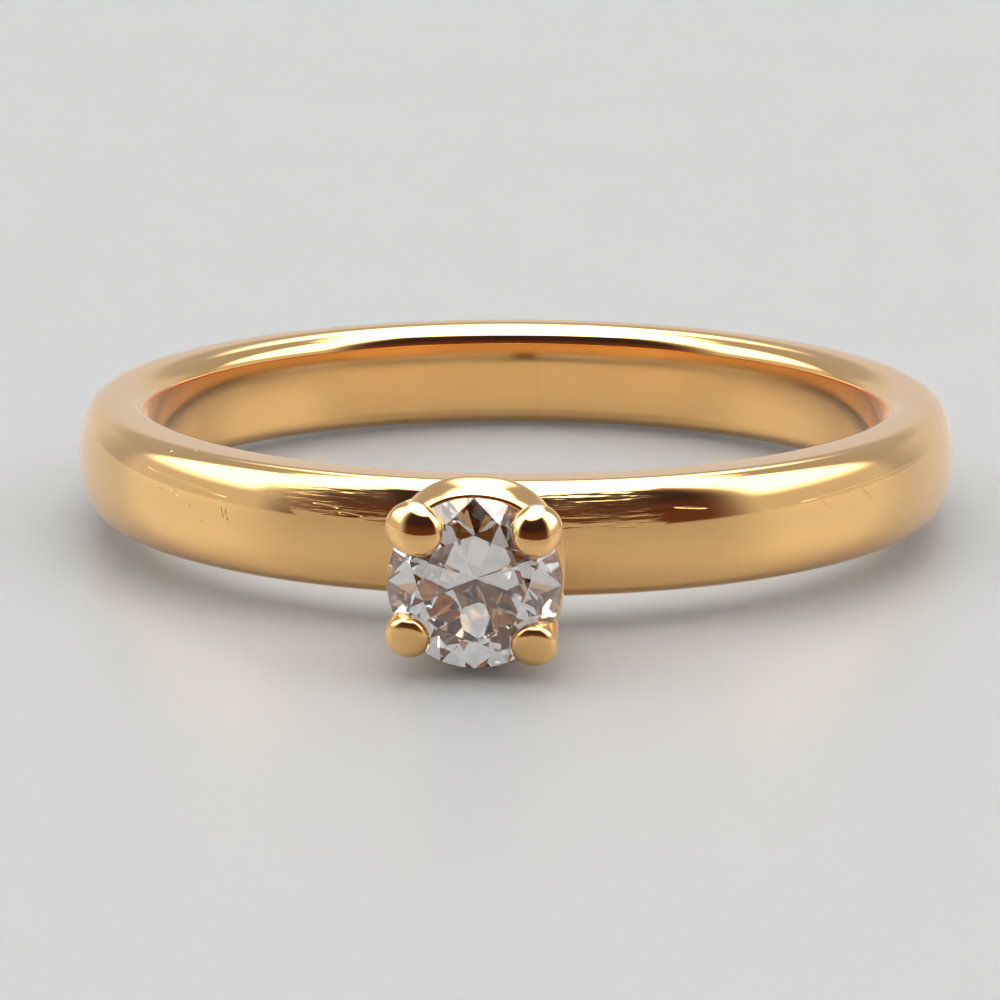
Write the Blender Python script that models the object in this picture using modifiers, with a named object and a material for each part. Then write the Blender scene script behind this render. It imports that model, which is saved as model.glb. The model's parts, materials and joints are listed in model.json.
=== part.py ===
"""Solitaire engagement ring: a D-section gold band, a four-claw collet and a round brilliant stone.

The ring lies on its side as on a table, with the stone facing -Y and +Z up. It rests on the lower edge
of its head and on the back of the band, so it tilts a little. Metres throughout.
"""

import math
from typing import NamedTuple

import bmesh
import bpy
import numpy as np
from mathutils import Vector
from mathutils.geometry import interpolate_bezier, normal

MM = 0.001

# Band: a D-shaped section, flat in the bore and on both flanks, domed outside and eased at the bore
FINGER_DIAMETER = 16.7 * MM
BAND_WIDTH = 2.48 * MM
BAND_THICKNESS = 1.526 * MM
FLANK_HEIGHT = 0.83 * MM
DOME_FULLNESS = 2.32
BORE_EDGE_RADIUS = 0.31 * MM
SEAM_THICKNESS = 0.14 * MM

# Stone: a round brilliant
STONE_DIAMETER = 3.5 * MM
TABLE_DIAMETER = 2.2 * MM
GIRDLE_THICKNESS = 0.09 * MM
CROWN_ANGLE = math.radians(34.5)
PAVILION_ANGLE = math.radians(42.5)
MAIN_FACETS = 8
STAR_REACH = 0.5
LOWER_HALF_REACH = 0.55

# Collet: a cup with a rounded crest, its foot below the crown of the band and its rim below the girdle
GIRDLE_HEIGHT = 3.07 * MM
HEAD_DROP = 0.08 * MM
COLLET_RIM_PROUD = 0.03 * MM
COLLET_RIM_DROP = 0.12 * MM
COLLET_RIM_BORE = 1.8 * MM
COLLET_CREST_BULGE = 0.18 * MM
COLLET_CREST_LIFT = 0.07 * MM
COLLET_CREST_DROP = 0.75 * MM
COLLET_CREST_FULLNESS = 2.4
COLLET_CREST_ROUNDNESS = 1.3
COLLET_FOOT_DIAMETER = 2.2 * MM
COLLET_FOOT_BORE = 0.7 * MM
COLLET_SKIRT = 0.6 * MM
COLLET_TAPER = 1.3

# Claws: round wires up the outside of the collet, thicker and domed at the tip
CLAW_BEAD_DIAMETER = 1.0 * MM
CLAW_TIP_HANDLE = 0.9 * MM
CLAW_LEAN_DEPTH = 0.25 * MM
CLAW_FOOT_LEAN = math.radians(7)
CLAW_KNEE_PLACE = 1.6


class Claw(NamedTuple):
    """Where a claw stands round the stone, and how its tip was bent over and worn down.

    Directions are round the head's axis, from the right as the stone is looked at. The foot stands inside
    the edge of the collet's foot, and the tip inside the girdle, by their insets. The knee is how far the
    wire bows out between them. The tip starts above the girdle by its rise and faces along the axis, turned
    up by its pitch and to the right by its yaw. Its dome leans to the right and sags. Angles are in degrees,
    and sizes are shares of the usual bead diameter.
    """

    name: str
    foot_direction: float
    foot_inset: float
    foot_diameter: float
    knee_direction: float
    knee: float
    tip_direction: float
    tip_inset: float
    tip_diameter: float
    tip_pitch: float
    tip_yaw: float
    tip_height: float
    tip_fullness: float
    tip_rise: float
    tip_lean: float
    tip_sag: float


CLAWS = (
    Claw("claw_upper_right", 45, 0.15, 0.7, 30, 0.06, 42.6, 0, 1.02, 25, 20, 0.4, 2, 0.22, -0.06, 0.1),
    Claw("claw_upper_left", 135, 0.05, 0.74, 150, 0.1, 137, 0.032, 1.1, 15, -2, 0.43, 2, 0.28, 0.22, 0.05),
    Claw("claw_lower_left", 216, 0.05, 0.7, 218, 0.08, 218.5, 0.075, 0.95, -25, -10, 0.32, 3, 0.15, 0, 0),
    Claw("claw_lower_right", 315, 0.05, 0.7, 316, 0.08, 316, 0.07, 0.98, -25, 0, 0.32, 3, 0.15, 0, 0),
)

# Fits between soldered and set pieces
JOINT_GAP = 0.02 * MM
SOLDER_THICKNESS = 0.06 * MM
SOLDER_FILLET = 0.07 * MM

# Fineness of the round shapes
BAND_STEPS = 84
DOME_POINTS = 12
EDGE_POINTS = 4
GIRDLE_STEPS = 64
COLLET_STEPS = 48
CREST_POINTS = 5
TAPER_POINTS = 5
CLAW_BEVEL_RESOLUTION = 5
CLAW_POINTS = 14
CLAW_TIP_POINTS = 5
TILT_HALVINGS = 40
WELD = 1e-7
FACET_WELD = 1e-6

# Sizes that follow from the ones above
BORE_RADIUS = FINGER_DIAMETER / 2
FLANK_RADIUS = BORE_RADIUS + FLANK_HEIGHT
CROWN_RADIUS = BORE_RADIUS + BAND_THICKNESS
GIRDLE_LEVEL = CROWN_RADIUS + GIRDLE_HEIGHT
STONE_RADIUS = STONE_DIAMETER / 2
COLLET_FOOT_LEVEL = CROWN_RADIUS - COLLET_SKIRT
COLLET_RIM_LEVEL = GIRDLE_LEVEL - COLLET_RIM_DROP
COLLET_CREST_LEVEL = GIRDLE_LEVEL - COLLET_CREST_DROP
SADDLE_GAP = 2 * JOINT_GAP + SOLDER_THICKNESS
CUTTER_REACH = BAND_THICKNESS + BAND_WIDTH

# Colours, and how dull each finish is
BRIGHT_GOLD = (0.89, 0.55, 0.19, 1.0)
SOLDER_GOLD = (0.86, 0.58, 0.26, 1.0)
STONE_WHITE = (0.98, 0.98, 0.98, 1.0)
BAND_ROUGHNESS = 0.16
CLAW_ROUGHNESS = 0.1
SOLDER_ROUGHNESS = 0.3
STONE_ROUGHNESS = 0.0


def clear_scene():
    """Remove every object of the scene."""
    for obj in list(bpy.data.objects):
        bpy.data.objects.remove(obj, do_unlink=True)


def new_collection(name):
    """Make a collection in the scene."""
    collection = bpy.data.collections.new(name)
    bpy.context.scene.collection.children.link(collection)
    return collection


def new_material(name, colour, roughness, metallic, transmission=0.0):
    """Make a Principled material."""
    material = bpy.data.materials.new(name)
    material.use_nodes = True
    shader = material.node_tree.nodes["Principled BSDF"]
    shader.inputs["Base Color"].default_value = colour
    shader.inputs["Roughness"].default_value = roughness
    shader.inputs["Metallic"].default_value = metallic
    shader.inputs["Transmission Weight"].default_value = transmission
    material.diffuse_color = colour
    return material


def new_empty(name, collection, parent=None):
    """Make an empty that carries other pieces."""
    empty = bpy.data.objects.new(name, None)
    collection.objects.link(empty)
    empty.parent = parent
    return empty


def new_piece(name, mesh, collection, parent, material=None):
    """Put a mesh in the scene as a named piece."""
    piece = bpy.data.objects.new(name, mesh)
    collection.objects.link(piece)
    piece.parent = parent
    if material:
        mesh.materials.append(material)
    return piece


def as_cutter(piece):
    """Mark a piece as a cutter, which is not part of the ring."""
    piece.hide_render = True
    piece.display_type = "WIRE"
    return piece


def cut(piece, cutter, operation="DIFFERENCE"):
    """Cut a piece with another, or keep only what they share."""
    boolean = piece.modifiers.new(cutter.name, "BOOLEAN")
    boolean.operation = operation
    boolean.solver = "EXACT"
    boolean.object = cutter


def profile_mesh(name, outline):
    """Make a closed outline of (radius, height) points as edges at +X."""
    mesh = bpy.data.meshes.new(name)
    edges = [(i, (i + 1) % len(outline)) for i in range(len(outline))]
    mesh.from_pydata([(radius, 0, height) for radius, height in outline], edges, [])
    return mesh


def turn(piece, steps):
    """Turn a profile round its own Z axis."""
    screw = piece.modifiers.new("turned", "SCREW")
    screw.steps = steps
    screw.render_steps = steps
    screw.use_merge_vertices = True
    screw.merge_threshold = WELD
    screw.use_smooth_shade = True


def box_mesh(name, centre, size):
    """Make a box mesh."""
    mesh = bpy.data.meshes.new(name)
    bm = bmesh.new()
    bmesh.ops.create_cube(bm, size=1)
    bmesh.ops.scale(bm, vec=size, verts=bm.verts)
    bmesh.ops.translate(bm, vec=centre, verts=bm.verts)
    bm.to_mesh(mesh)
    bm.free()
    return mesh


def band_outline(grow=0.0):
    """The band's D section, top to bottom down the dome and back up the bore.

    A positive grow moves the outline outwards all round, for a clearance.
    """
    half = BAND_WIDTH / 2 + grow
    dome = CROWN_RADIUS - FLANK_RADIUS + grow
    bore = BORE_RADIUS - grow
    power = 2 / DOME_FULLNESS
    outline = []
    for i in range(DOME_POINTS + 1):
        angle = math.pi * (0.5 - i / DOME_POINTS)
        out = dome * max(0.0, math.cos(angle)) ** power
        up = math.copysign(half * abs(math.sin(angle)) ** power, math.sin(angle))
        outline.append((FLANK_RADIUS + out, up))
    middle = half - BORE_EDGE_RADIUS
    for height, first in ((-middle, math.pi * 1.5), (middle, math.pi)):
        for i in range(EDGE_POINTS + 1):
            angle = first - math.pi / 2 * i / EDGE_POINTS
            across = bore + BORE_EDGE_RADIUS * (1 + math.cos(angle))
            outline.append((across, height + BORE_EDGE_RADIUS * math.sin(angle)))
    return outline


def make_band(parts, cutters, rest, gold, solder):
    """The shank, open at the back by its butt joint, and the solder wafer that closes it."""
    joint_centre = (0, CROWN_RADIUS, 0)
    slit = SEAM_THICKNESS + 2 * JOINT_GAP
    reach = 2 * CUTTER_REACH
    slit_box = box_mesh("seam_slit", joint_centre, (slit, reach, reach))
    slit_cutter = as_cutter(new_piece("seam_slit", slit_box, cutters, rest))
    seam_box = box_mesh("seam_space", joint_centre, (SEAM_THICKNESS, reach, reach))
    seam_cutter = as_cutter(new_piece("seam_space", seam_box, cutters, rest))

    shank = new_piece("shank", profile_mesh("shank", band_outline()), parts, rest, gold)
    turn(shank, BAND_STEPS)
    cut(shank, slit_cutter)
    seam_mesh = profile_mesh("shank_solder_seam", band_outline())
    seam = new_piece("shank_solder_seam", seam_mesh, parts, rest, solder)
    turn(seam, BAND_STEPS)
    cut(seam, seam_cutter, "INTERSECT")
    return [shank, seam]


def band_space(name, cutters, rest, grow):
    """The band grown by a clearance, to cut what is soldered onto it."""
    space = new_piece(name, profile_mesh(name, band_outline(grow)), cutters, rest)
    turn(space, BAND_STEPS)
    return as_cutter(space)


def polar(radius, angle, height):
    """A point or way of the head from its distance to the axis, its direction and its height."""
    return Vector((radius * math.cos(angle), radius * math.sin(angle), height))


def stone_facets():
    """Each facet of the brilliant as (point, outward normal), about the middle of the girdle.

    The main facets follow the crown and pavilion angles. A star facet joins two corners of the table
    to the meeting of two main facets, and a half facet joins such a meeting to the girdle.
    """
    turn_step = math.tau / MAIN_FACETS
    half_step = turn_step / 2
    edge = GIRDLE_THICKNESS / 2
    table_radius = TABLE_DIAMETER / 2
    table = edge + (STONE_RADIUS - table_radius) * math.tan(CROWN_ANGLE)
    culet = -edge - STONE_RADIUS * math.tan(PAVILION_ANGLE)
    table_side = table_radius * math.cos(half_step)
    star_radius = table_side + STAR_REACH * (STONE_RADIUS - table_side)
    star_drop = (STONE_RADIUS - star_radius * math.cos(half_step)) * math.tan(CROWN_ANGLE)
    half_radius = STONE_RADIUS * (1 - LOWER_HALF_REACH)
    half_height = culet + half_radius * math.cos(half_step) * math.tan(PAVILION_ANGLE)
    facets = []
    for k in range(MAIN_FACETS):
        main = k * turn_step
        between = main + half_step
        crown_point = polar(STONE_RADIUS, main, edge)
        pavilion_point = polar(STONE_RADIUS, main, -edge)
        facets.append((crown_point, polar(math.sin(CROWN_ANGLE), main, math.cos(CROWN_ANGLE))))
        facets.append((pavilion_point, polar(math.sin(PAVILION_ANGLE), main, -math.cos(PAVILION_ANGLE))))
        star_tip = polar(star_radius, between, edge + star_drop)
        half_tip = polar(half_radius, between, half_height)
        corner = polar(table_radius, main, table)
        next_corner = polar(table_radius, main + turn_step, table)
        facets.append((star_tip, facing_out(corner, star_tip, next_corner)))
        for side in (main, main + turn_step):
            upper_main = polar(STONE_RADIUS, side, edge)
            upper_between = polar(STONE_RADIUS, between, edge)
            facets.append((star_tip, facing_out(star_tip, upper_main, upper_between)))
            lower_main = polar(STONE_RADIUS, side, -edge)
            lower_between = polar(STONE_RADIUS, between, -edge)
            facets.append((half_tip, facing_out(half_tip, lower_main, lower_between)))
    return facets, table, culet


def facing_out(a, b, c):
    """The normal of the plane through three points, turned away from the stone's middle."""
    across = normal(a, b, c)
    return across if across.dot(a) > 0 else -across


def stone_mesh(name, grow=0.0):
    """Cut a brilliant out of a round rough, one flat facet at a time.

    A positive grow moves every facet outwards, for the seat that holds the stone.
    """
    facets, table, culet = stone_facets()
    mesh = bpy.data.meshes.new(name)
    bm = bmesh.new()
    bmesh.ops.create_cone(
        bm,
        cap_ends=True,
        segments=GIRDLE_STEPS,
        radius1=STONE_RADIUS + grow,
        radius2=STONE_RADIUS + grow,
        depth=2 * STONE_RADIUS,
    )
    facets.append((Vector((0, 0, table)), Vector((0, 0, 1))))
    facets.append((Vector((0, 0, culet)), Vector((0, 0, -1))))
    for point, outward in facets:
        everything = bm.verts[:] + bm.edges[:] + bm.faces[:]
        cut_off = bmesh.ops.bisect_plane(
            bm,
            geom=everything,
            dist=WELD,
            plane_co=point + outward * grow,
            plane_no=outward,
            clear_outer=True,
        )
        rim = [item for item in cut_off["geom_cut"] if isinstance(item, bmesh.types.BMEdge)]
        bmesh.ops.holes_fill(bm, edges=rim, sides=0)
        bmesh.ops.remove_doubles(bm, verts=bm.verts, dist=FACET_WELD)
    bmesh.ops.recalc_face_normals(bm, faces=bm.faces)
    bmesh.ops.translate(bm, vec=(0, 0, GIRDLE_LEVEL), verts=bm.verts)
    bm.to_mesh(mesh)
    bm.free()
    return mesh


class Oval(NamedTuple):
    """A rounded outline across the head, where a fullness of two gives an ellipse."""

    half_width: float
    half_height: float
    fullness: float
    middle_height: float

    def eased(self, other, share):
        """An outline between this one and another."""
        return Oval(*(first + (second - first) * share for first, second in zip(self, other)))

    def ring(self, level, grow=0.0):
        """The outline's points at a distance from the ring's axis, moved outwards by a clearance."""
        power = 2 / self.fullness
        points = []
        for i in range(COLLET_STEPS):
            angle = math.tau * i / COLLET_STEPS
            across = math.copysign(abs(math.cos(angle)) ** power, math.cos(angle))
            up = math.copysign(abs(math.sin(angle)) ** power, math.sin(angle))
            height = self.middle_height + up * (self.half_height + grow)
            points.append((across * (self.half_width + grow), height, level))
        return points


def round_outline(diameter):
    """A circle round the head's axis."""
    return Oval(diameter / 2, diameter / 2, 2.0, 0.0)


def loft_mesh(name, rings):
    """Join closed rings of points one to the next, and the last to the first."""
    faces = []
    for i in range(len(rings)):
        here = i * COLLET_STEPS
        there = (i + 1) % len(rings) * COLLET_STEPS
        for j in range(COLLET_STEPS):
            k = (j + 1) % COLLET_STEPS
            faces.append((here + j, here + k, there + k, there + j))
    mesh = bpy.data.meshes.new(name)
    mesh.from_pydata([point for ring in rings for point in ring], [], faces)
    bm = bmesh.new()
    bm.from_mesh(mesh)
    bmesh.ops.recalc_face_normals(bm, faces=bm.faces)
    bm.to_mesh(mesh)
    bm.free()
    mesh.shade_smooth()
    return mesh


def collet_rings():
    """The collet's wall, from the rim over the rounded crest, down to the foot and up the bore."""
    rim_radius = STONE_RADIUS + COLLET_RIM_PROUD
    rim = round_outline(2 * rim_radius)
    crest = Oval(rim_radius, rim_radius + COLLET_CREST_BULGE, COLLET_CREST_FULLNESS, COLLET_CREST_LIFT)
    foot = round_outline(COLLET_FOOT_DIAMETER)
    power = 2 / COLLET_CREST_ROUNDNESS
    rings = []
    for i in range(CREST_POINTS + 1):
        angle = math.pi / 2 * i / CREST_POINTS
        level = COLLET_CREST_LEVEL + (COLLET_RIM_LEVEL - COLLET_CREST_LEVEL) * abs(math.cos(angle)) ** power
        rings.append(rim.eased(crest, math.sin(angle) ** power).ring(level))
    for i in range(1, TAPER_POINTS + 1):
        share = i / TAPER_POINTS
        level = COLLET_CREST_LEVEL + (COLLET_FOOT_LEVEL - COLLET_CREST_LEVEL) * share
        rings.append(crest.eased(foot, share**COLLET_TAPER).ring(level))
    rings.append(round_outline(COLLET_FOOT_BORE).ring(COLLET_FOOT_LEVEL))
    rings.append(round_outline(COLLET_RIM_BORE).ring(COLLET_RIM_LEVEL))
    return rings


def make_saddle(parts, head, solder, band_skin, solder_skin):
    """The solder between the collet's saddle and the band: a washer that follows the dome."""
    outer = round_outline(COLLET_FOOT_DIAMETER)
    inner = round_outline(COLLET_FOOT_BORE)
    low = COLLET_FOOT_LEVEL
    high = CROWN_RADIUS + BAND_THICKNESS
    rings = [outer.ring(level, SOLDER_FILLET) for level in (high, low)]
    rings += [inner.ring(level) for level in (low, high)]
    name = "collet_solder_saddle"
    saddle = new_piece(name, loft_mesh(name, rings), parts, head, solder)
    cut(saddle, solder_skin, "INTERSECT")
    cut(saddle, band_skin)
    return saddle


def tip_level(claw):
    """How far from the finger's axis a claw's dome starts."""
    return GIRDLE_LEVEL + claw.tip_rise * CLAW_BEAD_DIAMETER


def claw_centre_line(claw):
    """The claw's middle from foot to tip, and the way its tip points."""
    foot_angle = math.radians(claw.foot_direction)
    tip_angle = math.radians(claw.tip_direction)
    pitch = math.radians(claw.tip_pitch)
    yaw = math.radians(claw.tip_yaw)
    foot_radius = COLLET_FOOT_DIAMETER / 2 - claw.foot_inset * CLAW_BEAD_DIAMETER
    foot = polar(foot_radius, foot_angle, COLLET_FOOT_LEVEL)
    tip = polar(STONE_RADIUS - claw.tip_inset * CLAW_BEAD_DIAMETER, tip_angle, tip_level(claw))
    foot_way = polar(math.sin(CLAW_FOOT_LEAN), foot_angle, math.cos(CLAW_FOOT_LEAN))
    tip_way = Vector((math.sin(yaw) * math.cos(pitch), math.sin(pitch), math.cos(yaw) * math.cos(pitch)))
    foot_handle = foot + foot_way * (tip.z - foot.z) / 3
    line = interpolate_bezier(foot, foot_handle, tip - tip_way * CLAW_TIP_HANDLE, tip, CLAW_POINTS)
    for i, point in enumerate(line):
        share = i / (CLAW_POINTS - 1)
        bend = claw.knee * CLAW_BEAD_DIAMETER * math.sin(math.pi * share**CLAW_KNEE_PLACE) ** 2
        point += polar(bend, math.radians(claw.knee_direction), 0)
    return line, tip_way


def smooth_share(share):
    """Ease a share between nought and one in and out."""
    share = min(max(share, 0), 1)
    return share * share * (3 - 2 * share)


def claw_mesh(name, claw, grow=0.0):
    """A round wire along the claw's middle that thickens towards the tip and ends in a leaning dome."""
    line, tip_way = claw_centre_line(claw)
    foot_radius = claw.foot_diameter / 2 * CLAW_BEAD_DIAMETER + grow
    tip_radius = claw.tip_diameter / 2 * CLAW_BEAD_DIAMETER + grow
    tip_height = claw.tip_height * CLAW_BEAD_DIAMETER + grow
    stations = []
    for i, point in enumerate(line):
        share = i / (len(line) - 1)
        stations.append((point, foot_radius + (tip_radius - foot_radius) * share))
    # The last ring of the dome stops half a step short of the pole, so the cap on it is a small flat
    power = 2 / claw.tip_fullness
    for i in range(1, CLAW_TIP_POINTS + 1):
        angle = math.pi / 2 * i / (CLAW_TIP_POINTS + 0.5)
        point = line[-1] + tip_way * tip_height * math.sin(angle) ** power
        stations.append((point, tip_radius * math.cos(angle) ** power))

    curve = bpy.data.curves.new(name, "CURVE")
    curve.dimensions = "3D"
    curve.bevel_depth = 1.0
    curve.bevel_resolution = CLAW_BEVEL_RESOLUTION
    curve.use_fill_caps = True
    spline = curve.splines.new("POLY")
    spline.points.add(len(stations) - 1)
    for target, (point, radius) in zip(spline.points, stations):
        target.co = (*point, 1)
        target.radius = radius
    wire = bpy.data.objects.new(name, curve)
    bpy.context.scene.collection.objects.link(wire)
    mesh = bpy.data.meshes.new_from_object(wire.evaluated_get(bpy.context.evaluated_depsgraph_get()))
    bpy.data.objects.remove(wire)
    bpy.data.curves.remove(curve)
    bm = bmesh.new()
    bm.from_mesh(mesh)
    bmesh.ops.remove_doubles(bm, verts=bm.verts, dist=WELD)
    bmesh.ops.recalc_face_normals(bm, faces=bm.faces)
    lean = Vector((claw.tip_lean, -claw.tip_sag, 0)) * CLAW_BEAD_DIAMETER
    for vertex in bm.verts:
        above = vertex.co.z - tip_level(claw) + CLAW_LEAN_DEPTH
        vertex.co += lean * smooth_share(above / (CLAW_LEAN_DEPTH + claw.tip_height * CLAW_BEAD_DIAMETER))
    bm.to_mesh(mesh)
    bm.free()
    mesh.name = name
    mesh.shade_smooth()
    return mesh


def make_head(parts, cutters, rest, gold, claw_gold, solder, white):
    """The collet, its four claws, the solder under it and the stone that they hold."""
    head = new_empty("head_axis", parts, rest)
    head.location = (0, 0, -HEAD_DROP)
    head.rotation_euler = (math.radians(90), 0, 0)
    band_skin = band_space("band_skin", cutters, rest, JOINT_GAP)
    solder_skin = band_space("solder_skin", cutters, rest, JOINT_GAP + SOLDER_THICKNESS)
    saddle_space = band_space("saddle_space", cutters, rest, SADDLE_GAP)
    seat = as_cutter(new_piece("stone_seat", stone_mesh("stone_seat", JOINT_GAP), cutters, head))

    stone = new_piece("brilliant_stone", stone_mesh("brilliant_stone"), parts, head, white)
    saddle = make_saddle(parts, head, solder, band_skin, solder_skin)
    collet = new_piece("collet", loft_mesh("collet", collet_rings()), parts, head, gold)
    cut(collet, saddle_space)
    cut(collet, seat)
    pieces = [stone, saddle, collet]
    for claw in CLAWS:
        wire = new_piece(claw.name, claw_mesh(claw.name, claw), parts, head, claw_gold)
        cut(wire, saddle_space)
        cut(wire, seat)
        groove_name = claw.name + "_groove"
        groove_mesh = claw_mesh(groove_name, claw, JOINT_GAP)
        groove = as_cutter(new_piece(groove_name, groove_mesh, cutters, head))
        cut(collet, groove)
        pieces.append(wire)
    return pieces


def all_points(pieces):
    """Every vertex of the finished pieces in the scene's frame, one to a row."""
    graph = bpy.context.evaluated_depsgraph_get()
    points = []
    for piece in pieces:
        evaluated = piece.evaluated_get(graph)
        mesh = evaluated.to_mesh()
        points += [evaluated.matrix_world @ vertex.co for vertex in mesh.vertices]
        evaluated.to_mesh_clear()
    return np.array(points)


def resting_tilt(points):
    """The turn about X that brings the lowest reach of the front down level with that of the back."""
    front = points[points[:, 1] < 0]
    back = points[points[:, 1] > 0]

    def lowest(half, tilt):
        return (half[:, 1] * math.sin(tilt) + half[:, 2] * math.cos(tilt)).min()

    low, high = -math.pi / 4, math.pi / 4
    for _ in range(TILT_HALVINGS):
        tilt = (low + high) / 2
        if lowest(front, tilt) > lowest(back, tilt):
            low = tilt
        else:
            high = tilt
    return tilt


def lay_down(rest, pieces):
    """Tilt the ring as it rests, and put its origin at the middle of its footprint on the table."""
    bpy.context.view_layer.update()
    rest.rotation_euler = (resting_tilt(all_points(pieces)), 0, 0)
    bpy.context.view_layer.update()
    points = all_points(pieces)
    middle = (points.min(axis=0) + points.max(axis=0)) / 2
    rest.location = (-middle[0], -middle[1], -points[:, 2].min())
    bpy.context.view_layer.update()


def main():
    clear_scene()
    parts = new_collection("engagement_ring")
    cutters = new_collection("cutters")
    cutters.hide_render = True
    rest = new_empty("resting_ring", parts)
    gold = new_material("band_gold", BRIGHT_GOLD, BAND_ROUGHNESS, metallic=1.0)
    claw_gold = new_material("claw_gold", BRIGHT_GOLD, CLAW_ROUGHNESS, metallic=1.0)
    solder = new_material("gold_solder", SOLDER_GOLD, SOLDER_ROUGHNESS, metallic=1.0)
    white = new_material("stone", STONE_WHITE, STONE_ROUGHNESS, metallic=0.0, transmission=1.0)
    pieces = make_band(parts, cutters, rest, gold, solder)
    pieces += make_head(parts, cutters, rest, gold, claw_gold, solder, white)
    lay_down(rest, pieces)


main()
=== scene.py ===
"""Looks of a solitaire engagement ring: a polished gold band, a four-claw head and a brilliant stone.

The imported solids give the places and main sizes. Each piece here is a finer mesh that stands for one
solid and carries its own finish. The ring lies on a pale table in a light tent that is open towards the
camera, so the front of the gold mirrors a dark opening between the table and the bright roof.
"""

import json
import logging
import math
from dataclasses import astuple, dataclass
from enum import Enum
from typing import Any

import bmesh
import bpy
from bpy.types import Curve, Material, Mesh, Node, NodeSocket, NodeTree, Object
from mathutils import Matrix, Vector
from mathutils.geometry import interpolate_bezier, normal


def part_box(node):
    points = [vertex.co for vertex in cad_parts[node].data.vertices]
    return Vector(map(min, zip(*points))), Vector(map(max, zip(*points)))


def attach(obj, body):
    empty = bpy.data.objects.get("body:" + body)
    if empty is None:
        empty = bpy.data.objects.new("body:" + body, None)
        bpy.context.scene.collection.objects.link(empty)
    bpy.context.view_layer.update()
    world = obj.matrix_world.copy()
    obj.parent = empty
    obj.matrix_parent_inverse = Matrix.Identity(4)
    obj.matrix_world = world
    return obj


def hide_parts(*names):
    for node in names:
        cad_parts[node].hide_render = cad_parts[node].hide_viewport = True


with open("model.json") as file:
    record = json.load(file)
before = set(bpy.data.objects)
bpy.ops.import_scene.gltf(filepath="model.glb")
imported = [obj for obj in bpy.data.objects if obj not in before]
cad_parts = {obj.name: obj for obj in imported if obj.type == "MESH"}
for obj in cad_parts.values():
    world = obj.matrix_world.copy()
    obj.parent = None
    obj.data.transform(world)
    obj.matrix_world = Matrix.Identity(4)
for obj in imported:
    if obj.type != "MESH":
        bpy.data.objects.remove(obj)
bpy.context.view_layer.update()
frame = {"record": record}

MM = 0.001
BODY = "root"
# Points of a piece that lie closer than this are merged
WELD = 0.0001 * MM
# The same for the corners of the stone's facets
FACET_WELD = 0.001 * MM
# The share of a step between an arc's end and the station next to it
END_STATION = 0.02
# Edges that bend by more than this look sharp
CREASE = math.radians(35)
# How many steps short of its pole a claw's dome ends
POLE_MARGIN = 0.25
# Where most of a noise pattern's values lie
PATTERN_LOW, PATTERN_MIDDLE, PATTERN_HIGH = 0.3, 0.5, 0.7
# How many finer layers the patches have in a finish that drifts from place to place
DRIFT_DETAIL = 3.0
MAX_BOUNCES = 24
GLOSSY_BOUNCES = 16
log = logging.getLogger("engagement_ring")


class Slot(Enum):
    """The record's material slots."""

    BAND_GOLD = "band_gold"
    CLAW_GOLD = "claw_gold"
    SOLDER = "gold_solder"
    STONE = "stone"


class Cut(Enum):
    """What a cutter leaves of a piece."""

    OUTSIDE = "DIFFERENCE"
    INSIDE = "INTERSECT"


# Small helpers


def linear(hex_colour: str) -> tuple[float, float, float, float]:
    """Turn an sRGB hex colour into a linear one.

    Args:
        hex_colour: Six hex digits after a hash.

    Returns:
        Red, green, blue and an alpha of one.
    """
    channels = [int(hex_colour[i : i + 2], 16) / 255 for i in (1, 3, 5)]
    red, green, blue = (c / 12.92 if c <= 0.04045 else ((c + 0.055) / 1.055) ** 2.4 for c in channels)
    return red, green, blue, 1.0


def add_node(
    tree: NodeTree, kind: str, inputs: dict[str | int, Any] | None = None, **settings: Any
) -> Node:
    """Add a node with its settings, its constant values and its links.

    Args:
        tree: The tree that gets the node.
        kind: The node's type name.
        inputs: Input name or number to a constant, or to the output socket that feeds it.
        **settings: The node's own properties.

    Returns:
        The new node.
    """
    node = tree.nodes.new(kind)
    for name, value in settings.items():
        setattr(node, name, value)
    for key, value in (inputs or {}).items():
        if isinstance(value, NodeSocket):
            tree.links.new(value, node.inputs[key])
        else:
            node.inputs[key].default_value = value
    return node


def polar(radius: float, angle: float, height: float) -> Vector:
    """A point or way of the head from its distance to the axis, its direction and its height."""
    return Vector((radius * math.cos(angle), radius * math.sin(angle), height))


def working_object(name: str, data: Mesh | Curve) -> Object:
    """Put data in the scene as an object that is used up while the pieces are made.

    Args:
        name: The object's name.
        data: Its mesh or curve.

    Returns:
        The object.
    """
    obj = bpy.data.objects.new(name, data)
    bpy.context.scene.collection.objects.link(obj)
    return obj


def discard(*objects: Object) -> None:
    """Remove working objects from the scene."""
    for obj in objects:
        bpy.data.objects.remove(obj, do_unlink=True)


def evaluated_mesh(obj: Object, name: str) -> Mesh:
    """Turn an object with its modifiers into a plain mesh with merged doubles and outward faces.

    Args:
        obj: The working object.
        name: The new mesh's name.

    Returns:
        The mesh, in the object's own frame.
    """
    graph = bpy.context.evaluated_depsgraph_get()
    mesh = bpy.data.meshes.new_from_object(obj.evaluated_get(graph))
    mesh.name = name
    bm = bmesh.new()
    bm.from_mesh(mesh)
    bmesh.ops.remove_doubles(bm, verts=bm.verts, dist=WELD)
    bmesh.ops.recalc_face_normals(bm, faces=bm.faces)
    bm.to_mesh(mesh)
    bm.free()
    mesh.set_sharp_from_angle(angle=CREASE)
    return mesh


def cut(piece: Object, cutter: Object, keep: Cut = Cut.OUTSIDE) -> None:
    """Cut a working object with another one.

    Args:
        piece: What is cut.
        cutter: What cuts it.
        keep: What the cutter leaves.
    """
    boolean = piece.modifiers.new(cutter.name, "BOOLEAN")
    boolean.operation = keep.value
    boolean.solver = "EXACT"
    boolean.object = cutter


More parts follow.
